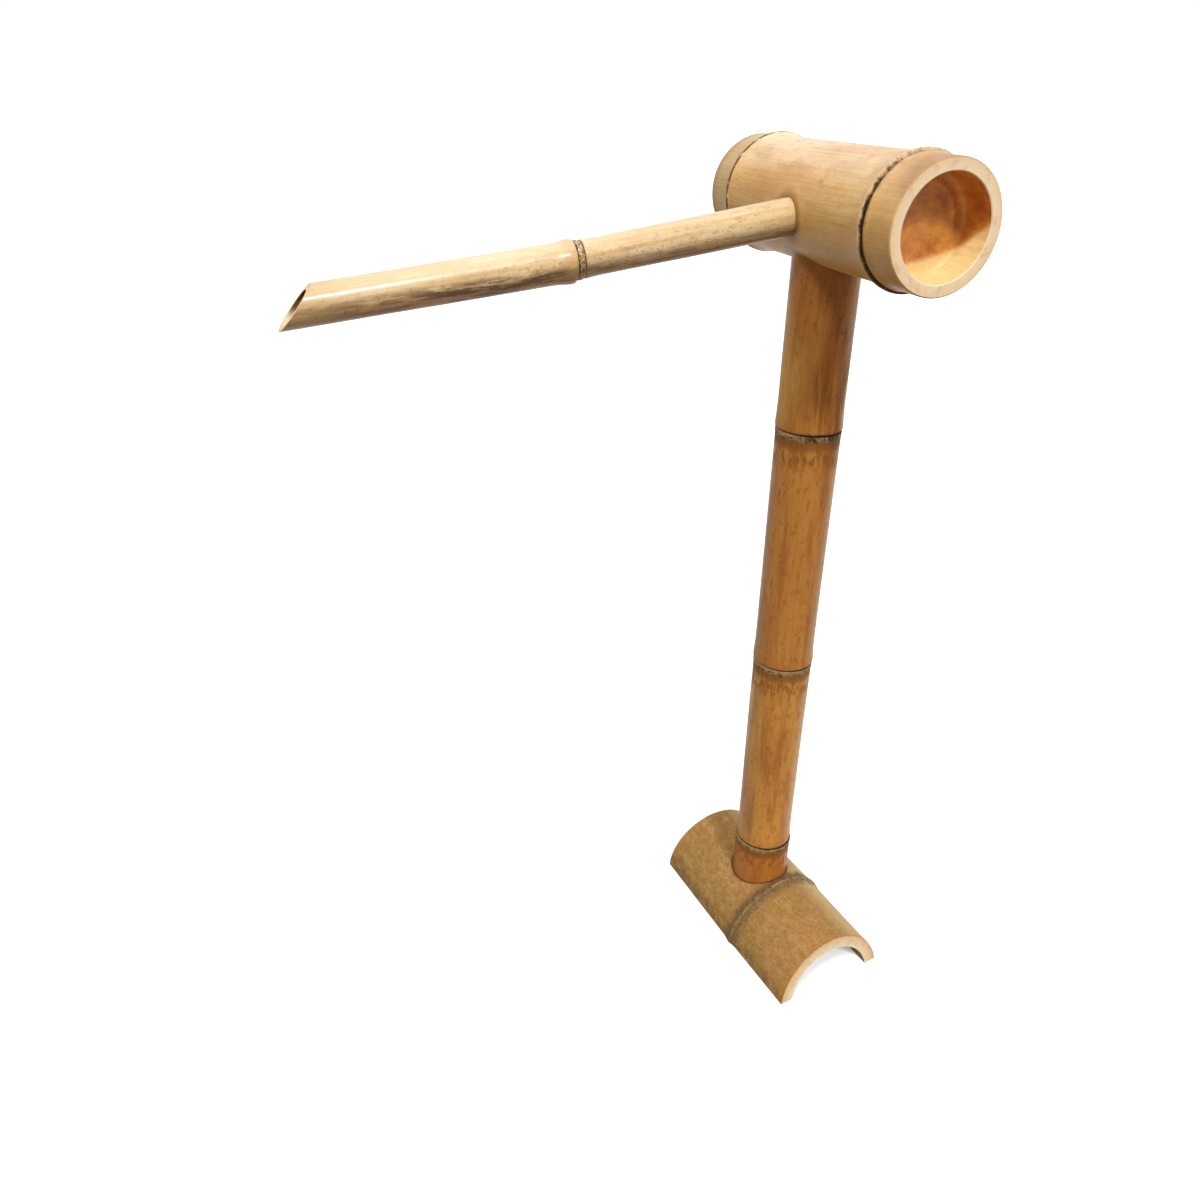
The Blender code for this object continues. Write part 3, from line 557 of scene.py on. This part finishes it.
# drum: a short fat culm, pale straw, a cup at each end beyond its two nodes; in its own frame Y is up
# and Z runs to the near end
drum = {
    "axisHeight": 0.7165, "near": 0.1306, "far": -0.1172, "radius": 0.0424, "bore": 0.0339,
    "arris": 0.0007, "innerArris": 0.0006, "liningWithin": 0.0340,
    "postHoleDepth": 0.060, "socketDepth": 0.055, "holeSides": 96, "socketSides": 72,
    "nodes": ((0.1016, -1), (-0.0872, 1)),
    "nodeRows": ((24, 0), (19, 0.18), (14.5, 0.55), (10, 1.15), (7, 1.75), (4.5, 2.4), (2.6, 2.85),
                 (1.5, 3.0), (0.8, 2.8), (0.4, 2.1), (0.1, 0.4), (-0.15, -0.6), (-0.55, -0.3), (-0.8, 0.75),
                 (-1.3, 1.05), (-2.4, 0.95), (-4, 0.62), (-6, 0.25), (-8.6, 0)),
    "floorRows": ((0.0, -1.5), (0.3, -1.3), (0.55, -0.9), (0.70, -0.4), (0.745, 0.3), (0.775, 0.62),
                  (0.81, 0.55), (0.86, 0.75), (0.92, 1.05), (0.97, 1.9), (1.0, 3.6)),  # share of bore, mm up
    "diaphragm": 0.005,
    "steps": 192, "longest": 0.005,
    "lean": 0.0004, "leanTo": 60, "leanReach": 0.02,
    "waver": 0.0003, "calm": (), "skinFrom": 0.040,
    "lump": 0.00018, "lumpAt": -0.0005, "lumpReach": 0.0035, "lumpSize": 0.007,
    "heavy": (-0.75, -0.66, 0.0), "heavySlope": 16.0,
    "grooveAt": 0.0001, "grooveWide": 0.0007, "grooveDepth": 0.0008,
    "skin": {
        "pale": "#f0c78a", "deep": "#e0ad6c", "roughness": 0.42, "sheenLevel": 0.15, "coat": 0.0, "bump": 0.5,
        "grainDepth": 0.15,
        "patterns": {"cloud": (30, 90, 3, 0.5), "streak": (5, 120, 4, 0.6), "grain": (1.2, 70, 4, 0.6),
                     "blotch": (5, 10, 5, 0.65), "dash": (3.2, 3.2, 2, 0.5), "fibre": (0.5, 26, 2, 0.5),
                     "stain": (9, 16, 5, 0.65), "scratch": (24, 0.9, 1, 0.5)},
        "layers": (
            {"pattern": "streak", "low": 0.50, "high": 0.68, "amount": 0.32, "colour": "#cb9454"},
            # painted light: the drum's top is washed paler, a painted highlight from the light above
            {"amount": 0.7, "colour": "#fae3c4", "side": (0, 1, 0), "start": 14, "end": 42},
            # painted shade: the underside is washed darker and yellower, a painted warm shade lit by the
            # floor's bounce
            {"amount": 0.7, "colour": "#c6933c", "side": (-0.3, -1, 0), "start": -10, "end": 40},
            {"amount": 0.7, "colour": "#c4aa78", "side": (0, 0, -1), "start": 88, "end": 91},
            {"amount": 0.6, "colour": "#8f8258", "side": (0, 0, -1), "start": 106, "end": 117},
            {"amount": 0.4, "colour": "#dbac69", "side": (0, 0, 1), "start": 102, "end": 105},
            {"amount": 0.8, "colour": "#ad8760", "side": (0, 1, 1), "start": 138, "end": 160},
            {"amount": 0.6, "colour": "#c98d4a", "side": (0, -1, 1), "start": 130, "end": 156},
            {"pattern": "stain", "low": 0.50, "high": 0.70, "amount": 0.35, "colour": "#bd8a52"},
            {"pattern": "cloud", "low": 0.42, "high": 0.60, "amount": 0.4, "colour": "#d09a68",
             "side": (-1, 0.5, 0), "start": 10, "end": 34},
            {"pattern": "fibre", "low": 0.60, "high": 0.76, "amount": 0.35, "colour": "#a27440"},
            {"pattern": "scratch", "low": 0.66, "high": 0.72, "amount": 0.22, "colour": "#94673a"},
            {"pattern": "blotch", "low": 0.56, "high": 0.72, "amount": 0.3, "colour": "#b07b42"},
        ),
        "rings": (
            {"at": 2.2, "width": 3.4, "soft": 1.4, "ragged": 1.2, "amount": 0.45, "colour": "#efd3a4"},
            {"at": -1.0, "width": 1.6, "soft": 1.2, "ragged": 1.6, "amount": 0.6, "colour": "#735230",
             "heavy": (-0.75, -0.66, 0.0), "extra": 1.8},
            {"at": 0.9, "width": 1.2, "soft": 0.8, "ragged": 1.8, "amount": 0.5, "colour": "#7a5630",
             "broken": 0.5, "by": "dash"},
            {"at": -0.1, "width": -0.1, "soft": 0.45, "ragged": 0.4, "amount": 0.95, "colour": "#21150c",
             "heavy": (-0.75, -0.66, 0.0), "extra": 2.0},
            {"at": 2.4, "width": -1.2, "soft": 0.6, "ragged": 1.2, "amount": 0.9, "colour": "#41290f",
             "heavy": (0.0, 0.0, -1.0), "extra": 4.6, "broken": 0.44, "by": "blotch"},
            {"at": 0.0, "width": -3.0, "soft": 0.8, "ragged": 0.7, "amount": 0.7, "colour": "#8a6a3c",
             "heavy": (0.0, 0.0, -1.0), "extra": 8.0},
        ),
        # rim: real staining round the holes, partly painted shadow of the spout beside its socket and painted
        # contact shade where the post enters
        "rimWidth": 8.0, "rimAmount": 0.7, "rimColour": "#855527",
    },
}
standX, standY = post["axis"][:2]
drumMiddle = Vector((standX, standY, drum["axisHeight"]))
drumFrame = Matrix.Translation(drumMiddle) @ Matrix.Rotation(pi / 2, 4, 'X')
half, arris, innerArris = drum["diaphragm"] / 2, drum["arris"], drum["innerArris"]
nearNode, farNode = drum["nodes"][0][0], drum["nodes"][1][0]
nearFloor = [(share * drum["bore"], nearNode + half + rise / 1000) for share, rise in drum["floorRows"]]
farFloor = [(share * drum["bore"], farNode - half - rise / 1000) for share, rise in drum["floorRows"]]
section = nearFloor + [(drum["bore"], drum["near"] - innerArris), (drum["bore"] + innerArris, drum["near"])]
section += [(drum["radius"] - arris, drum["near"]), (drum["radius"], drum["near"] - arris)]
section += nodeRows(nearNode, drum["radius"], drum["radius"], drum["nodeRows"], -1)[::-1]
section += nodeRows(farNode, drum["radius"], drum["radius"], drum["nodeRows"])
section += [(drum["radius"], drum["far"] + arris), (drum["radius"] - arris, drum["far"])]
section += [(drum["bore"] + innerArris, drum["far"]), (drum["bore"], drum["far"] + innerArris)]
section += farFloor[::-1]
bm = spunCulm(section, drum["steps"], drum["longest"])
sortFaces(bm, drum, drum["far"] + innerArris / 2, drum["near"] - innerArris / 2)
shapeCulm(bm, drum)
bmesh.ops.transform(bm, matrix=drumFrame, verts=bm.verts)
drumCulm = newPiece("drumCulm", bm, [bambooSkin("strawBambooSkin", drum["skin"]), sawnFresh,
                                     culmLining("cupLining", liningCup)])

# spout: a thin pale culm, kinked at its node and cut to a lip; in its own frame X is up and Z its length
spout = {
    "start": (0.16488, 0.00151, 0.7160), "tilt": 7.5, "turn": 1.1, "kink": 2.0, "mitre": 44.5,  # degrees
    "root": 0.0259, "length": 0.4096, "radius": 0.0137, "bore": 0.0095,
    "rootRadius": 0.0134, "rootTo": 0.0544, "neckRadius": 0.0126, "mouthRadius": 0.0133,
    "rootBore": 0.0093, "mouthBore": 0.0100, "liningWithin": 0.0103, "endSlack": 0.0001, "lipCuts": 2,
    "nodes": ((0.2065, 1),),
    "nodeRows": ((20, 0), (14, 0.2), (10, 0.55), (7, 0.95), (5, 1.15), (3, 1.05), (1.2, 0.75), (0.5, 0.3),
                 (0, -0.3), (-0.4, 0.15), (-1.2, 0.6), (-2.4, 0.75), (-3.8, 0.6), (-4.8, 0.2), (-5.2, -0.05),
                 (-5.7, 0.3), (-7, 0.45), (-10, 0.2), (-16, 0)),
    "diaphragm": 0.004, "nodeHole": 0.0070,
    "steps": 112, "longest": 0.004,
    "lean": 0.0008, "leanTo": 180, "leanReach": 0.012,
    "waver": 0.00022, "calm": ((0.0, 0.078),), "skinFrom": 0.0118,
    "lump": 0.00045, "lumpAt": -0.001, "lumpReach": 0.005, "lumpSize": 0.004,
    "skin": {
        "pale": "#ecd2a4", "deep": "#d3ab74", "roughness": 0.27, "sheenLevel": 0.30, "coat": 0.28,
        "bump": 0.35, "grainDepth": 0.14,
        "patterns": {"cloud": (16, 60, 3, 0.5), "streak": (3.5, 90, 4, 0.6), "grain": (1.0, 45, 4, 0.6),
                     "blotch": (4, 8, 5, 0.68), "dash": (2.2, 1.6, 3, 0.6), "fibre": (0.4, 22, 2, 0.5),
                     "stain": (4.5, 34, 5, 0.65), "spot": (1.7, 2.4, 2, 0.5)},
        "layers": (
            {"pattern": "streak", "low": 0.48, "high": 0.66, "amount": 0.55, "colour": "#c8985c"},
            {"pattern": "blotch", "low": 0.50, "high": 0.64, "amount": 0.55, "colour": "#b07c3e"},
            {"pattern": "fibre", "low": 0.60, "high": 0.76, "amount": 0.3, "colour": "#a97c44"},
            # painted light: the spout's top is washed pale cream, a painted highlight from the light above
            {"amount": 0.6, "colour": "#f6dfba", "side": (1, -0.1, 0.03), "start": 9, "end": 20},
            # painted shade: the underside is darkened, a painted shade from the dark surroundings below
            {"amount": 0.85, "colour": "#a06c30", "side": (-1, -0.25, 0), "start": 2, "end": 13, "matt": 0.6},
            # partly real stains, partly painted shade: kept to the underside and made extra dark there
            {"pattern": "stain", "low": 0.43, "high": 0.58, "amount": 0.7, "colour": "#5c3a1a",
             "side": (-1, -0.25, 0.02), "start": 5, "end": 13, "matt": 0.7},
            {"amount": 0.6, "colour": "#c19a62", "side": (-0.6, 0, 1), "start": 335, "end": 400},
            {"pattern": "spot", "low": 0.60, "high": 0.68, "amount": 0.8, "colour": "#7d4c22",
             "side": (-1, 0, 0), "start": -14, "end": 10},
        ),
        "rings": (
            # partly real stains near the node, partly painted shade: kept to the underside
            {"at": 58, "width": 108, "soft": 24, "ragged": 6, "amount": 0.75, "colour": "#45270e",
             "broken": 0.51, "by": "stain", "side": (-1, -0.25, 0), "start": 1, "end": 7},
            {"at": 4.0, "width": 12, "soft": 4, "ragged": 2.0, "amount": 0.35, "colour": "#c9a066"},
            {"at": -2.4, "width": 7.0, "soft": 1.5, "ragged": 1.5, "amount": 0.3, "colour": "#b08a58"},
            {"at": -2.4, "width": 4.6, "soft": 1.2, "ragged": 1.4, "amount": 0.9, "colour": "#3d2716",
             "broken": 0.53, "side": (1, -0.6, 0), "start": -9, "end": 2},
            {"at": 0.0, "width": 1.5, "soft": 0.5, "ragged": 0.8, "amount": 0.95, "colour": "#24150b",
             "broken": 0.43, "by": "blotch", "side": (1, -0.6, 0), "start": -10, "end": 0},
            {"at": -5.0, "width": 1.4, "soft": 0.5, "ragged": 0.8, "amount": 0.95, "colour": "#24150b",
             "broken": 0.45, "by": "blotch", "side": (1, -0.6, 0), "start": -10, "end": 0},
        ),
    },
}
level = cos(radians(spout["tilt"]))
along = Vector((-level * cos(radians(spout["turn"])), level * sin(radians(spout["turn"])),
                -sin(radians(spout["tilt"]))))
side = Vector((0.0, 0.0, -1.0)).cross(along).normalized()
up = side.cross(along)
spoutFrame = Matrix.Translation(spout["start"]) @ Matrix((up, side, along)).transposed().to_4x4()
nodeAt = spout["nodes"][0][0]
mouthEnd = spout["length"] + shaping["overrun"]
section = [(spout["mouthRadius"], mouthEnd)]
section += nodeRows(nodeAt, spout["radius"], spout["neckRadius"], spout["nodeRows"])
section += [(spout["rootRadius"], spout["rootTo"]), (spout["rootRadius"], spout["root"]),
            (spout["rootBore"], spout["root"])]
low, high = nodeAt - spout["diaphragm"] / 2, nodeAt + spout["diaphragm"] / 2
section += [(spout["rootBore"], low), (spout["nodeHole"], low), (spout["nodeHole"], high),
            (spout["rootBore"], high), (spout["mouthBore"], mouthEnd)]
bm = spunCulm(section, spout["steps"], spout["longest"])
sortFaces(bm, spout, spout["root"] + spout["endSlack"])
shapeCulm(bm, spout)
kink = Matrix.Rotation(radians(spout["kink"]), 3, 'Y')
kinkAt = Vector((0.0, 0.0, nodeAt))
beyondNode = [vert for vert in bm.verts if vert.co.z > nodeAt]
bmesh.ops.rotate(bm, verts=beyondNode, cent=kinkAt, matrix=kink)
tip = kinkAt + kink @ Vector((-spout["mouthRadius"], 0.0, spout["length"] - nodeAt))
slope = kink @ Matrix.Rotation(pi / 2 - radians(spout["mitre"]), 3, 'Y') @ Vector((0.0, 0.0, 1.0))
sawEnd(bm, tip, slope, spout["lipCuts"])
bmesh.ops.recalc_face_normals(bm, faces=bm.faces)
bmesh.ops.transform(bm, matrix=spoutFrame, verts=bm.verts)
spoutCulm = newPiece("spoutCulm", bm, [bambooSkin("glossyBambooSkin", spout["skin"]), sawnDry,
                                       culmLining("strawCulmLining", liningStraw)])
fromSpout = spoutFrame.inverted()


def straightSpout(point):
    local = fromSpout @ point
    if local.z > nodeAt:
        local = kink.transposed() @ (local - kinkAt) + kinkAt
    return local


markCulm(spoutCulm.data, spout, straightSpout)
finishPiece(spoutCulm, "spout_arm", "spout")

# the drum's chamber and its two drilled holes
fit = 0.0003  # play of a culm in its drilled hole
postHole, socket = post["radius"] + fit, spout["rootRadius"] + fit
postHolePlace = Matrix.Translation((standX, standY, drum["axisHeight"] - drum["postHoleDepth"]))
chamberPlace = drumFrame @ Matrix.Translation((0.0, 0.0, farNode + half))
chamberLength = nearNode - farNode - 2 * half
drillHoles(drumCulm, [
    roundCutter("chamber", drum["bore"], chamberLength, drum["holeSides"], chamberPlace, amberInside),
    roundCutter("postHole", postHole, drum["postHoleDepth"], drum["holeSides"], postHolePlace, sawnFresh),
    roundCutter("socket", socket, drum["socketDepth"], drum["socketSides"], spoutFrame, sawnFresh)])
fromDrum = drumFrame.inverted()
markCulm(drumCulm.data, drum, lambda point: fromDrum @ point,
         ((Vector(spout["start"]), along, socket), (drumMiddle, Vector((0, 0, -1)), postHole)))
finishPiece(drumCulm, "head", "drum")

# foot: half of a thick culm, split side down; in its own frame Y is up and Z runs to the near end
foot = {
    "radius": 0.0605, "farTaper": 0.0025, "wall": 0.0127, "bore": 0.0478, "near": 0.1248, "far": -0.0890,
    "turn": 7.6, "dip": 1.4, "endLean": 7.0,  # degrees
    "splitHeight": 0.0054, "arris": 0.0008, "liningWithin": 0.0484, "endSlack": 0.0002, "endCuts": 3,
    "holeReach": 0.09, "holeSides": 96,
    "nodes": ((0.0330, 1),), "ridge": 1.8, "ribAt": 0.03744, "ribDepth": 0.0093, "ribWidth": 0.005,
    "ridgeRows": ((11, 0), (8, 0.2), (5, 0.5), (3, 0.78), (1.3, 1.0), (-1.3, 0.8), (-3.2, 0.55), (-5.5, 0.3),
                  (-8, 0.1), (-11, 0)),
    "steps": 300, "longest": 0.0025,
    "lean": 0.0025, "leanTo": 180, "leanReach": 0.025,
    "waver": 0.0005, "calm": ((-0.034, 0.034),), "skinFrom": 0.054,
    "lump": 0.0016, "lumpAt": 0.001, "lumpReach": 0.007, "lumpSize": 0.0055,
    "skin": {
        "pale": "#ae844c", "deep": "#936b35", "roughness": 0.64, "sheenLevel": 0.25, "coat": 0.0,
        "bump": 0.7, "grainDepth": 0.16,
        "patterns": {"cloud": (32, 50, 4, 0.6), "streak": (7, 60, 4, 0.6), "grain": (1.6, 9, 4, 0.65),
                     "blotch": (7, 8, 6, 0.7), "dash": (6, 5, 5, 0.65), "fibre": (0.7, 14, 2, 0.5),
                     "spot": (2.0, 2.6, 4, 0.65)},
        "layers": (
            {"pattern": "cloud", "low": 0.45, "high": 0.62, "amount": 0.5, "colour": "#a5833f"},
            {"pattern": "blotch", "low": 0.46, "high": 0.66, "amount": 0.55, "colour": "#865f30"},
            {"pattern": "blotch", "low": 0.50, "high": 0.32, "amount": 0.4, "colour": "#c9a066"},
            {"pattern": "cloud", "low": 0.62, "high": 0.42, "amount": 0.3, "colour": "#b07a44",
             "side": (0, 0, 1), "start": 38, "end": 110},
            {"pattern": "spot", "low": 0.50, "high": 0.62, "amount": 0.35, "colour": "#83592c"},
            {"pattern": "spot", "low": 0.44, "high": 0.34, "amount": 0.2, "colour": "#d9b070"},
            {"pattern": "streak", "low": 0.52, "high": 0.68, "amount": 0.35, "colour": "#95703c"},
            {"pattern": "fibre", "low": 0.60, "high": 0.76, "amount": 0.3, "colour": "#75522a"},
            {"pattern": "cloud", "low": 0.1, "high": 0.4, "amount": 0.75, "colour": "#dcbd8b",
             "side": (1, 0, 0), "start": 8, "end": 46},
            {"pattern": "blotch", "low": 0.3, "high": 0.65, "amount": 0.75, "colour": "#5f4828",
             "side": (0, -1, 0), "start": -28, "end": -8},
            {"pattern": "streak", "low": 0.2, "high": 0.5, "amount": 0.5, "colour": "#c07632",
             "side": (0, 0, 1), "start": 112, "end": 126},
        ),
        "rings": (
            {"at": 0.5, "width": 16, "soft": 6, "ragged": 7, "amount": 0.8, "colour": "#6b5231"},
            {"at": -1.5, "width": 7, "soft": 3, "ragged": 6, "amount": 0.8, "colour": "#58432a",
             "broken": 0.50, "by": "dash"},
            {"at": 5.5, "width": 8, "soft": 3, "ragged": 7, "amount": 0.7, "colour": "#57422a",
             "broken": 0.52, "by": "spot"},
            {"at": 1.2, "width": 2.0, "soft": 1.5, "ragged": 2.0, "amount": 0.55, "colour": "#c9aa7c",
             "broken": 0.50, "by": "blotch"},
        ),
        # rim: painted shade of the gap round the post where it stands in the mortise
        "rimWidth": 3.2, "rimAmount": 0.95, "rimColour": "#43210f",
    },
}
footHole = Matrix.Translation(post["axis"])
footTurn = footHole @ Matrix.Rotation(radians(foot["turn"]), 4, 'Z')
footFrame = footTurn @ Matrix.Translation((0.0, 0.0, -foot["splitHeight"]))
footFrame = footFrame @ Matrix.Rotation(radians(foot["dip"]), 4, 'X') @ Matrix.Rotation(pi / 2, 4, 'X')
ridgeAt = foot["nodes"][0][0]
farRadius = foot["radius"] - foot["farTaper"]
nearEnd = foot["near"] + shaping["overrun"]
section = [(foot["radius"], nearEnd)]
section += [(foot["radius"] + rise * foot["ridge"] / 1000, ridgeAt + at / 1000)
            for at, rise in foot["ridgeRows"]]
section += [(farRadius, foot["far"] + foot["arris"]), (farRadius - foot["arris"], foot["far"]),
            (farRadius - foot["wall"], foot["far"])]
ribHalf = foot["ribWidth"] / 2
ribFrom, ribTo, ribBore = foot["ribAt"] - ribHalf, foot["ribAt"] + ribHalf, foot["bore"] - foot["ribDepth"]
section += [(foot["bore"], ribFrom - foot["ribWidth"]), (ribBore, ribFrom), (ribBore, ribTo),
            (foot["bore"], ribTo + foot["ribWidth"]), (foot["bore"], nearEnd)]
bm = spunCulm(section, foot["steps"], foot["longest"])
sortFaces(bm, foot, foot["far"] + foot["endSlack"])
shapeCulm(bm, foot)
bmesh.ops.transform(bm, matrix=footFrame, verts=bm.verts)
sawAt = footTurn @ Vector((0.0, -foot["near"], 0.0))
sawSlope = footTurn.to_3x3() @ Matrix.Rotation(-radians(foot["endLean"]), 3, 'X') @ Vector((0.0, -1.0, 0.0))
sawEnd(bm, sawAt, sawSlope, foot["endCuts"])
cutBeyond(bm, (0.0, 0.0, 0.0), (0.0, 0.0, -1.0))  # the split, level with the ground
rims = bmesh.ops.triangle_fill(bm, edges=[edge for edge in bm.edges if edge.is_boundary], use_beauty=True)
for item in rims["geom"]:
    if isinstance(item, bmesh.types.BMFace):
        item.material_index = 1
bmesh.ops.recalc_face_normals(bm, faces=bm.faces)
# painted shade: the arch's inside is darkened, a painted shade under the half culm
liningUmber = {"pale": "#8b6529", "deep": "#543b15", "roughness": 0.62}
footCulm = newPiece("footCulm", bm, [bambooSkin("weatheredBambooSkin", foot["skin"]), sawnDry,
                                     culmLining("dryCulmLining", liningUmber)])
mortise = post["buttRadius"] + fit
drillHoles(footCulm, [roundCutter("mortise", mortise, foot["holeReach"], foot["holeSides"], footHole,
                                  sawnFresh)])
fromFoot = footFrame.inverted()
markCulm(footCulm.data, foot, lambda point: fromFoot @ point,
         ((Vector(post["axis"]), Vector((0, 0, 1)), mortise),))
finishPiece(footCulm, "base", "foot")

# water line: soft clear PVC tube and its moulded black joiner, both kept from the CAD
hoseLook = {"clear": "#dfe6e6", "milky": "#c9d2d2", "ior": 1.53, "transmission": 0.75,
            "glossy": 0.12, "dull": 0.26, "drawLines": (400.0, 400.0, 12.0)}  # 2.5 mm by 83 mm
joinerLook = {"dark": "#161616", "worn": "#242424", "ior": 1.49, "roughness": 0.42,
              "grain": 2500.0, "grainBump": 0.3, "grainDepth": 0.0001}  # 0.4 mm grain
hosePlastic, tree = newMaterial("clearSoftPvc")  # extruded, a little milky, faint draw lines
place = addNode(tree, "TexCoord", out="Object")
lines = addNode(tree, "Mapping", {"Vector": place, "Scale": hoseLook["drawLines"]})
lines = addNode(tree, "TexNoise", {"Vector": lines, "Scale": 1.0, "Detail": 2.0})
tint = addNode(tree, "Mix", {0: lines, 6: linear(hoseLook["clear"]), 7: linear(hoseLook["milky"])},
               **inColour)
rough = addNode(tree, "MapRange", {"Value": lines, "To Min": hoseLook["glossy"], "To Max": hoseLook["dull"]})
shader = addNode(tree, "BsdfPrincipled", {"Base Color": tint, "Roughness": rough, "IOR": hoseLook["ior"],
                                          "Transmission Weight": hoseLook["transmission"]})
addNode(tree, "OutputMaterial", {"Surface": shader})
joinerPlastic, tree = newMaterial("blackMouldedPolypropylene")  # satin, finely grained by its mould
place = addNode(tree, "TexCoord", out="Object")
grain = addNode(tree, "TexNoise", {"Vector": place, "Scale": joinerLook["grain"], "Detail": 2.0})
tint = addNode(tree, "Mix", {0: grain, 6: linear(joinerLook["dark"]), 7: linear(joinerLook["worn"])},
               **inColour)
bump = addNode(tree, "Bump", {"Strength": joinerLook["grainBump"], "Distance": joinerLook["grainDepth"],
                              "Height": grain})
shader = addNode(tree, "BsdfPrincipled", {"Base Color": tint, "Roughness": joinerLook["roughness"],
                                          "IOR": joinerLook["ior"], "Normal": bump})
addNode(tree, "OutputMaterial", {"Surface": shader})
for nodeName, material in (("water_hose", hosePlastic), ("hose_inlet", joinerPlastic)):
    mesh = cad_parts[nodeName].data
    mesh.materials.clear()
    mesh.materials.append(material)
print("water line finished")
